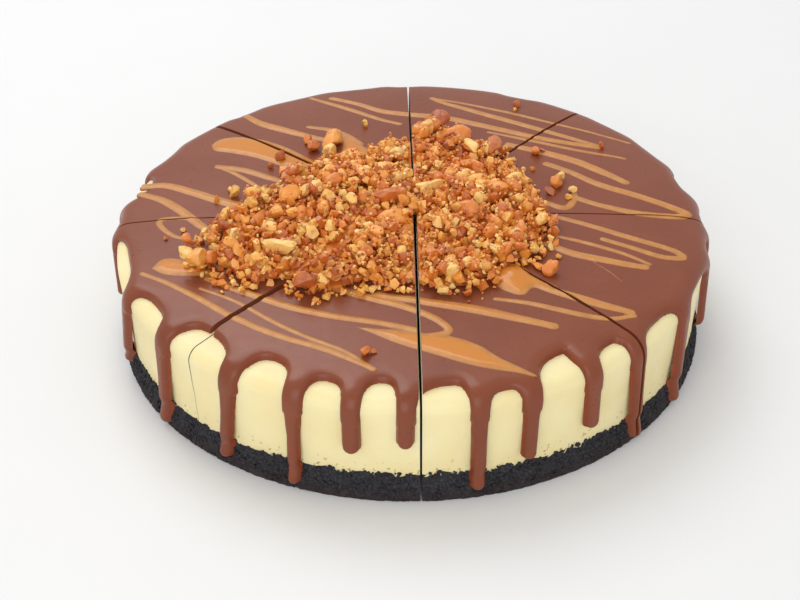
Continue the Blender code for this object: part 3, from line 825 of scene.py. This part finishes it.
# %% Chocolate finish
chocolate = Finish("chocolate")
thin = chocolate.attribute("edge")
bloom = chocolate.noise(30, 4, 0.55)
body = chocolate.mix(chocolate.spread(bloom, 0.35, 0.65), tint(133, 69, 43), tint(125, 63, 39))
edge = chocolate.ramp(thin, (0.0, tint(144, 66, 32)), (0.12, tint(128, 61, 36)), (0.3, tint(125, 64, 40)))
chocolate.set(
    Base_Color=chocolate.mix(chocolate.spread(thin, 0.1, 0.4), edge, body),
    Roughness=chocolate.spread(chocolate.noise(3.5, 5, 0.6), 0.3, 0.7, 0.26, 0.36),
    Normal=chocolate.bump(chocolate.noise(9, 3, 0.5), 0.08),
    Specular_IOR_Level=0.32,
    Subsurface_Weight=0.05,
    Subsurface_Radius=(0.002, 0.0008, 0.0004),
    Subsurface_Scale=1.0)
for i, piece in enumerate(coat_slices):
    chocolate.cover(piece)
    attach(piece, "root")
    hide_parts(f"chocolate_{i + 1}")
    piece.name = f"chocolate_slice_{i + 1}"

# %% [markdown]
# ## Caramel strokes and puddles
#
# Caramel was drizzled to and fro over the set coat, so each stroke swings out and turns back,
# and it pooled in a few places. A fine grid is lifted wherever it lies within a stroke or a
# puddle and drops under the coat elsewhere, so strokes that cross flow into one another.

# %% Lines of the strokes

# Strokes: width, then the points that each runs through, in millimetres
STROKES = (
    (3.0, (-43, 100), (-34, 93), (-22, 84), (-12, 77), (-4, 73)),
    (4.2, (-34, 99), (-22, 92), (-12, 85), (0, 81.5), (14, 79), (26, 74), (44, 65), (62, 57), (79, 52)),
    (2.2, (10, 98), (24, 92), (44, 83), (64, 73), (80, 65), (93, 58)),
    (3.6, (10, 98), (16, 92), (34, 81), (52, 70), (68, 60), (80, 53)),
    (2.4, (34, 65), (50, 58), (68, 50), (89, 43)),
    (4.6, (42, 54), (56, 47), (70, 39), (80, 30), (87, 23)),
    (4.2, (56, 38), (66, 31), (78, 20), (92, 12), (104, 5), (109, 1), (104, -1.5), (90, -0.5),
     (76, 5), (66, 11)),
    (3.4, (46, 12), (54, 7), (61, 3), (65, 9), (66, 16)),
    (3.4, (50, 0), (62, -6), (76, -14), (90, -21), (101, -27), (103, -31), (95, -31), (84, -25), (74, -20)),
    (4.4, (52, -23), (62, -30), (76, -35), (88, -38)),
    (2.4, (54, -17), (66, -22), (80, -29), (90, -36)),
    (0.8, (69, -36), (74, -42), (78, -48)),
    (4.6, (-71, 84), (-64, 76), (-54, 69), (-44, 63), (-36, 59)),
    (3.4, (-43, 71), (-34, 68), (-26, 62), (-20, 55)),
    (4.0, (-79, 38), (-68, 34), (-57, 28), (-46, 22)),
    (2.4, (-79, 38), (-70, 30), (-61, 20), (-53, 11)),
    (5.0, (-108, 25), (-98, 24), (-86, 17), (-72, 8), (-60, 4), (-50, 2)),
    (4.4, (-108, 19), (-99, 13), (-91, 4), (-82, -7), (-74, -15)),
    (2.8, (-84, -3), (-92, -2), (-98, -3), (-97, -8), (-92, -14), (-86, -17)),
    (3.2, (-101, -39), (-90, -47), (-78, -57), (-64, -69), (-48, -80), (-32, -89), (-18, -97), (-13, -100)),
    (2.2, (-13, -100), (-22, -92), (-36, -83), (-50, -72), (-64, -60), (-78, -51)),
    (4.0, (-76, -45), (-62, -54), (-46, -63), (-30, -69), (-14, -74), (2, -79)),
    (4.0, (-38, -44), (-30, -51), (-16, -58), (-2, -65), (9, -72), (14, -79), (8, -82)),
    (5.0, (-12, -57), (4, -61), (20, -65), (36, -71), (51, -76)),
    (4.6, (44, -49), (55, -56), (68, -62), (80, -67)),
    (3.0, (81, -69), (72, -71), (58, -68), (44, -63), (31, -60)),
)

# Puddles: the points round each one's edge, in millimetres
PUDDLES = (
    ((-84, 57), (-81, 62), (-74, 64), (-65, 62), (-55, 56), (-44, 46), (-33, 34),
     (-42, 33), (-52, 37), (-64, 44), (-75, 49), (-82, 52)),
    ((-29, 63), (-24, 60), (-19, 53), (-12, 44), (-10, 38), (-20, 36), (-28, 42), (-28, 54)),
    ((-98, -36), (-94, -30), (-87, -31), (-80, -36), (-73, -42), (-82, -43), (-92, -41)),
    ((-20, -77), (-6, -79), (14, -82), (24, -87), (31, -94), (44, -104), (36, -102),
     (20, -98), (4, -91), (-8, -85)),
    ((31, -38), (36, -34), (41, -37), (46, -45), (54, -52), (46, -53), (42, -58), (36, -56),
     (31, -50)),
)


def eased(points, step=1.5):
    """A smooth curve through points, as closely spaced points."""
    points = [Vector(p) for p in points]
    ends = [points[0] * 2 - points[1], *points, points[-1] * 2 - points[-2]]
    line = []
    for a, b, c, d in zip(ends, ends[1:], ends[2:], ends[3:]):
        count = max(2, int((c - b).length / step))
        for i in range(count):
            t = i / count
            line.append(0.5 * (2 * b + (c - a) * t + (2 * a - 5 * b + 4 * c - d) * t * t
                               + (3 * b - a - 3 * c + d) * t**3))
    return np.array([*line, points[-1]])


def distance_to_line(x, y, line):
    """Distance of many points to a broken line, and the share of the way along it."""
    best = np.full(x.shape, 1e9)
    where = np.zeros(x.shape)
    for i, (a, b) in enumerate(zip(line, line[1:])):
        d = b - a
        t = np.clip(((x - a[0]) * d[0] + (y - a[1]) * d[1]) / max(d @ d, 1e-9), 0, 1)
        far = np.hypot(x - a[0] - t * d[0], y - a[1] - t * d[1])
        closer = far < best
        best = np.where(closer, far, best)
        where = np.where(closer, (i + t) / (len(line) - 1), where)
    return best, where


def inside_of(x, y, ring):
    """True at points that lie inside a closed line."""
    inside = np.zeros(x.shape, bool)
    for a, b in zip(ring, np.roll(ring, -1, axis=0)):
        crosses = (a[1] > y) != (b[1] > y)
        at = (b[0] - a[0]) * (y - a[1]) / (b[1] - a[1] + 1e-12) + a[0]
        inside ^= crosses & (x < at)
    return inside


def caramel_field(x, y):
    """Distance in from the caramel's edge, in millimetres, at points given in millimetres."""
    field = np.full(x.shape, -9.0)
    for width, *points in STROKES:
        line = eased(points)
        near = ((x > line[:, 0].min() - 6) & (x < line[:, 0].max() + 6)
                & (y > line[:, 1].min() - 6) & (y < line[:, 1].max() + 6))
        far, where = distance_to_line(x[near], y[near], line)
        taper = 0.72 + 0.28 * np.sin(np.pi * np.clip(where, 0.06, 0.94))
        field[near] = smooth_max(field[near], width * 0.54 * taper - far, 0.8)
    for ring in PUDDLES:
        line = eased([*ring, ring[0]])
        far, _ = distance_to_line(x, y, line)
        field = smooth_max(field, np.where(inside_of(x, y, line[:-1]), far, -far), 1.5)
    return field


# %% Lift the caramel out of a grid
bpy.ops.mesh.primitive_grid_add(x_subdivisions=430, y_subdivisions=430, size=0.2322, location=(0, 0, 0))
caramel = bpy.context.object
caramel.name = "caramel"
co = corners(caramel)
wander = np.array([noise.noise_vector(Vector((x * 45, y * 45, 0.3))) for x, y, _ in co])
x, y = co[:, 0] / MM, co[:, 1] / MM
field = caramel_field(x + wander[:, 0] * 0.9, y + wander[:, 1] * 0.9)
radius = np.hypot(co[:, 0], co[:, 1])
share = np.clip(field / 1.8, 0, 1)
rise = np.where(field > 0, 0.06 + 0.24 * share * share * (3 - 2 * share), np.maximum(field, -0.5))
pool = np.clip((field - 1.2) / 1.6, 0, 1)
rise = rise + 0.3 * pool
blob = np.exp(-(((x - 38) / 6) ** 2 + ((y + 45) / 6) ** 2))
rise = rise + np.where(field > 0, 2.2 * blob * np.clip(field / 3, 0, 1), 0)
ground = dome(radius) + COAT_LIFT + coat_waves(np.column_stack([co[:, :2], dome(radius)]))
co[:, 2] = ground + rise * MM
put_corners(caramel, co)
add_layer(caramel.data, "edge", np.clip(field / 2.2, 0, 1))
add_layer(caramel.data, "pool", np.clip(pool + blob, 0, 1))
drop_points(caramel, (field < -0.45) | (radius > 112.5 * MM))
thicken(caramel, 0.5 * MM)
caramel = cut_into_slices(caramel, 1)
smooth_faces(caramel, 60)
print("caramel", triangles(caramel), "triangles")

# %% Caramel finish
toffee = Finish("caramel")
rim_share = toffee.attribute("edge")
deep = toffee.attribute("pool")
streaks = toffee.noise(4, 4, 0.6)
thin_colour = toffee.mix(toffee.spread(streaks, 0.35, 0.65), tint(182, 120, 62), tint(199, 138, 72))
spread_colour = toffee.mix(toffee.spread(rim_share, 0.0, 0.3), tint(146, 88, 54), thin_colour)
toffee.set(
    Base_Color=toffee.mix(deep, spread_colour, tint(207, 130, 52)),
    Specular_IOR_Level=0.35,
    Roughness=toffee.mix(deep, (0.36, 0.36, 0.36), (0.16, 0.16, 0.16)),
    Normal=toffee.bump(toffee.noise(3, 4, 0.55), 0.08),
    Subsurface_Weight=0.1,
    Subsurface_Radius=(0.003, 0.0015, 0.0006),
    Subsurface_Scale=1.0)
toffee.cover(caramel)
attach(caramel, "root")

# %% [markdown]
# ## Nut heap
#
# The heap is chopped nuts, glazed and toasted: mostly crumbs of two to four millimetres, with
# larger broken pieces on top. The crumbs are dropped one by one on a height map of the heap, so
# each rests on what is already there. A low mound under them closes the heap.

# %% Heap outline
HEAP_HEIGHT = 4.6 * MM  # over the coat, in the middle
MOUND_REACH = 0.93  # share of the heap's reach that the mound under the pieces has
MOUND_HEIGHT = 0.56  # and share of its height

# The heap's reach at every 12 degrees from +X, in millimetres
HEAP_REACH = (
    (50, 49, 49, 52, 57, 58, 62, 67, 52, 45)
    + (41, 44, 50, 55, 55, 70, 80, 88, 84, 69)
    + (67, 55, 53, 55, 60, 59, 54, 57, 58, 55)
)

# How far out from the middle each knife cut stays covered by nuts, in millimetres
COVERED = (6, 56, 50, 62, 14, 52, 88, 30)

# Large nut pieces: x, y, length and width in millimetres, direction in degrees
CHUNKS = (
    (-8, 3, 15, 9, 10),
    (9, 9, 17, 8, 35),
    (-18, 18, 20, 6, -50),
    (-47, 4, 12, 9, 70),
    (-30, 14, 9, 7, 40),
    (20, 52, 13, 9, 20),
    (13, 66, 9, 7, 80),
    (26, 38, 12, 6, -65),
    (34, 40, 15, 6, 70),
    (26, 12, 14, 8, 25),
    (34, 8, 15, 6, -35),
    (-32, 55, 13, 8, 60),
    (-49, -34, 16, 8, -20),
    (-79, -41, 10, 8, 60),
    (-38, -56, 9, 7, 30),
    (-24, 33, 12, 8, 0),
    (-6, -14, 12, 9, 10),
    (22, -8, 12, 9, 0),
)


def direction(x, y):
    """The direction of places, in degrees from +X."""
    return np.degrees(np.arctan2(y, x))


def heap_reach(turn):
    """The heap's reach at directions in degrees, smooth between the named reaches."""
    place = np.asarray(turn) % 360 / 12
    start = np.floor(place).astype(int)
    share = place - start
    share = share * share * (3 - 2 * share)
    reach = np.array(HEAP_REACH, float)
    return (reach[start % 30] * (1 - share) + reach[(start + 1) % 30] * share) * MM


def heap_target(x, y):
    """How high the heap wants to be, in metres, over the coat."""
    radius = np.hypot(x, y)
    reach = heap_reach(direction(x, y))
    share = np.clip(radius / reach, 0, 1.2)
    return np.where(share < 1, HEAP_HEIGHT * (1 - 0.55 * share**2), 0)


def mound_height(x, y):
    """Height of the closed mound that the loose pieces lie on."""
    radius = np.hypot(x, y)
    within = radius < heap_reach(direction(x, y)) * MOUND_REACH
    return np.where(within, heap_target(x, y) * MOUND_HEIGHT, 0)


CELL = 0.6 * MM
SPAN = 380
grid_axis = (np.arange(SPAN) - SPAN / 2 + 0.5) * CELL
grid_x, grid_y = np.meshgrid(grid_axis, grid_axis, indexing="ij")
heap_height = mound_height(grid_x, grid_y)
heap_floor = dome(np.hypot(grid_x, grid_y)) + COAT_LIFT


def cell_at(x, y):
    """The height map's cell over a place."""
    return int((x + SPAN / 2 * CELL) / CELL), int((y + SPAN / 2 * CELL) / CELL)


def place_at(distance, turn):
    """x and y at a distance from the middle, in a direction given in degrees."""
    return distance * math.cos(math.radians(turn)), distance * math.sin(math.radians(turn))


def rest_on_heap(x, y, size, sink=0.25):
    """Where a lump of this size comes to rest; the height map then rises with it."""
    i, j = cell_at(x, y)
    reach = max(1, int(size * 0.5 / CELL))
    part = (slice(max(0, i - reach), i + reach + 1), slice(max(0, j - reach), j + reach + 1))
    ground = np.percentile(heap_height[part], 70)
    far = np.hypot(grid_x[part] - x, grid_y[part] - y) / (size * 0.55)
    roof = ground + size * (0.5 - sink) + size * 0.42 * np.sqrt(np.clip(1 - far**2, 0, 1))
    heap_height[part] = np.where(far < 1, np.maximum(heap_height[part], roof), heap_height[part])
    return heap_floor[i, j] + ground + size * (0.5 - sink)


print("heap reaches", min(HEAP_REACH), "to", max(HEAP_REACH), "mm")

# %% Drop the crumbs
MOST_CRUMBS = 2400
draw = random.Random(21)
nut_shapes = [pebble(seed + 30, rough=0.55, keep=0.25, breaks=3) for seed in range(16)]
small_places = []
for attempt in range(9000):
    turn = draw.uniform(0, 360)
    share = math.sqrt(draw.random())
    reach = float(heap_reach(turn))
    distance = reach * min(1.04, share * 1.05)
    x, y = place_at(distance, turn)
    size = min(5.4, draw.lognormvariate(1.05, 0.32)) * MM
    edge_noise = noise.noise(Vector((x * 90, y * 90, 4)))
    if share > 0.9 + 0.25 * edge_noise and draw.random() < 0.7:
        continue
    i, j = cell_at(x, y)
    if heap_height[i, j] > float(heap_target(x, y)) * (0.75 + 0.5 * edge_noise) + 0.8 * MM:
        continue
    if len(small_places) == MOST_CRUMBS or not clear_of_cuts(x, y, size * 0.42, 1, COVERED):
        continue
    z = rest_on_heap(x, y, size)
    stretch = (draw.uniform(0.9, 1.35), draw.uniform(0.8, 1.1), draw.uniform(0.7, 1.0))
    small_places.append((draw.randrange(16), tumbled(draw, Vector((x, y, z)), size, stretch), draw.random()))
nut_crumbs = scatter("nut_crumbs", nut_shapes, small_places)

# %% Lay the larger pieces


def broken_nut(seed):
    """A broken piece of kernel: a bumpy ball with two or three flat breaks."""
    bpy.ops.mesh.primitive_ico_sphere_add(subdivisions=4, radius=0.5, location=(0, 0, 0))
    lump = bpy.context.object
    rule = random.Random(seed)
    shift = Vector((seed * 2.3, seed * 4.1, 1))
    breaks = []
    for _ in range(rule.choice((2, 3, 3, 4))):
        normal = Vector((rule.gauss(0, 1), rule.gauss(0, 1), rule.gauss(0, 0.7))).normalized()
        breaks.append((normal, rule.uniform(0.2, 0.38)))
    for vert in lump.data.vertices:
        groove = 0.07 * math.sin(vert.co.x * 9 + 2 * noise.noise(vert.co * 2 + shift))
        vert.co *= 1 + 0.28 * noise.noise(vert.co * 1.9 + shift) + groove
        for normal, depth in breaks:
            over = vert.co.dot(normal) - depth
            if over > 0:
                vert.co -= normal * over * 0.85
        vert.co += vert.co.normalized() * 0.05 * noise.noise(vert.co * 9 + shift)
    return thinned(lump, 0.35)


chunk_shapes = [broken_nut(seed) for seed in range(12)]
chunk_places = []
LOOSE_CHUNKS = 130
while len(chunk_places) < LOOSE_CHUNKS:
    turn = draw.uniform(0, 360)
    distance = float(heap_reach(turn)) * math.sqrt(draw.random()) * 0.96
    x, y = place_at(distance, turn)
    size = draw.uniform(3.8, 6.8) * MM
    if not clear_of_cuts(x, y, size * 0.45, 1, COVERED):
        continue
    z = rest_on_heap(x, y, size, sink=0.28)
    stretch = (draw.uniform(1.0, 1.5), draw.uniform(0.8, 1.1), draw.uniform(0.65, 0.9))
    chunk_places.append((draw.randrange(12), tumbled(draw, Vector((x, y, z)), size, stretch), draw.random()))
print("loose chunks", len(chunk_places))

# %% Sprinkle the grit
grit_shapes = [pebble(seed + 60, level=1, rough=0.5, keep=0.6, breaks=2) for seed in range(10)]
GRIT_PIECES = 1700
grit_places = []
while len(grit_places) < GRIT_PIECES:
    turn = draw.uniform(0, 360)
    distance = float(heap_reach(turn)) * min(1.1, math.sqrt(draw.random()) + abs(draw.gauss(0, 0.05)))
    x, y = place_at(distance, turn)
    size = draw.uniform(0.9, 2.0) * MM
    if clear_of_cuts(x, y, size * 0.5, 1, COVERED):
        z = rest_on_heap(x, y, size, sink=0.2)
        grit_places.append((draw.randrange(10), tumbled(draw, Vector((x, y, z)), size), draw.random()))
nut_grit = scatter("nut_grit", grit_shapes, grit_places)

# %% Lay the named pieces on top
for k, (x, y, length, width, turn) in enumerate(CHUNKS):
    size = width * MM
    tilt = draw.uniform(-0.2, 0.2)
    z = rest_on_heap(x * MM, y * MM, size, sink=0.16)
    matrix = (Matrix.Translation((x * MM, y * MM, z)) @ Matrix.Rotation(math.radians(turn), 4, "Z")
              @ Matrix.Rotation(tilt, 4, "Y")
              @ Matrix.Diagonal((length * MM, width * MM, width * 0.8 * MM, 1)))
    chunk_places.append((k % 12, matrix, draw.random()))
nut_chunks = scatter("nut_chunks", chunk_shapes, chunk_places, 40)

# %% Strays on the chocolate

# Pieces that lie alone on the chocolate: x, y and size in millimetres, kind (0 crumb, 1 chunk)
STRAYS = (
    (59, 20, 6.5, 1), (56, 14, 4.0, 0), (61, 25, 4.5, 1), (65, 15, 3.5, 0), (63, 10, 2.5, 0),
    (47, 90, 3.6, 1), (46, 86, 2.2, 0), (-16, -93, 4.4, 1), (-13, -92, 2.4, 0),
    (-84, -29, 4.6, 1), (-70, 14, 5.4, 1), (-72, 18, 2.6, 0), (-77, 10, 3.4, 0),
    (-19, 71, 3.6, 0), (52, 46, 4.6, 1), (55, 48, 2.6, 0), (-53, 43, 6.0, 1), (-55, 13, 3.0, 0),
    (-40, 50, 6.0, 1), (-33, 45, 6.0, 1), (-43, 57, 5.0, 0), (80, 52, 3.0, 0), (-83, -39, 7.0, 1),
    (-52, 32, 4.0, 0), (-57, 36, 3.2, 0), (-50, 29, 3.2, 0), (-18, -57, 3.8, 0), (-28, -53, 4.4, 0),
    (-6, -55, 4.0, 0), (52, -43, 6.0, 1), (48, -40, 4.0, 0), (56, -33, 2.6, 0), (46, 30, 2.6, 0),
    (50, 33, 2.4, 0), (-70, -50, 3.4, 0), (-94, -17, 2.0, 0), (-88, -12, 2.2, 0),
)
lone_places = {0: [], 1: []}
for x, y, size, kind in STRAYS:
    size *= MM
    z = rest_on_heap(x * MM, y * MM, size, sink=0.14)
    stretch = (draw.uniform(1.0, 1.3), draw.uniform(0.85, 1.05), draw.uniform(0.7, 0.95))
    matrix = tumbled(draw, Vector((x * MM, y * MM, z)), size, stretch)
    lone_places[kind].append((draw.randrange(12), matrix, draw.random()))
stray_crumbs = scatter("stray_crumbs", nut_shapes, lone_places[0])
stray_chunks = scatter("stray_chunks", chunk_shapes, lone_places[1])

# %% Mound under the crumbs
bpy.ops.mesh.primitive_grid_add(x_subdivisions=150, y_subdivisions=150, size=0.196,
                                location=(-0.012, 0.002, 0))
mound = bpy.context.object
mound.name = "nut_mound"
bpy.ops.object.transform_apply(location=True)
co = corners(mound)
lumps = np.array([noise.noise(Vector((x * 300, y * 300, 1))) for x, y, _ in co])
radius = np.hypot(co[:, 0], co[:, 1])
inside = radius < heap_reach(direction(co[:, 0], co[:, 1])) * MOUND_REACH
co[:, 2] = dome(radius) + COAT_LIFT + mound_height(co[:, 0], co[:, 1]) * (1.1 + 0.35 * lumps)
put_corners(mound, co)
drop_points(mound, ~inside)
thicken(mound, 1.4 * MM)
mound = cut_into_slices(mound, 1)
smooth_faces(mound, 60)
add_layer(mound.data, "tone", np.full(len(mound.data.vertices), 0.62))
print("mound", triangles(mound), "triangles")

# %% Nut finish
kernel = Finish("nuts")
tone = kernel.attribute("tone")
blotch = kernel.noise(2.2, 4, 0.6)
fine_grain = kernel.noise(0.6, 4, 0.6)
tone_mix = kernel.maths("ADD", kernel.maths("MULTIPLY", tone, 0.72), kernel.maths("MULTIPLY", blotch, 0.34))
nut_colour = kernel.ramp(
    tone_mix,
    (0.12, tint(250, 214, 136)), (0.30, tint(246, 186, 92)), (0.49, tint(238, 154, 60)),
    (0.68, tint(222, 126, 46)), (0.86, tint(188, 94, 38)), (0.99, tint(148, 70, 30)))
skin = kernel.spread(kernel.noise(3.4, 3, 0.55), 0.58, 0.68)
nut_colour = kernel.mix(kernel.maths("MULTIPLY", skin, 0.5), nut_colour, tint(162, 80, 36))
kernel.set(
    Base_Color=nut_colour,
    Roughness=kernel.spread(fine_grain, 0.3, 0.7, 0.34, 0.6),
    Normal=kernel.bump(kernel.noise(0.8, 5, 0.6), 0.22),
    Coat_Weight=0.4,
    Coat_Roughness=0.16,
    Subsurface_Weight=0.08,
    Subsurface_Radius=(0.002, 0.001, 0.0005),
    Subsurface_Scale=1.0)
for piece in (nut_crumbs, nut_chunks, nut_grit, stray_crumbs, stray_chunks, mound):
    kernel.cover(piece)
    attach(piece, "root")
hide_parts(*[f"nuts_{i + 1}" for i in range(8)])
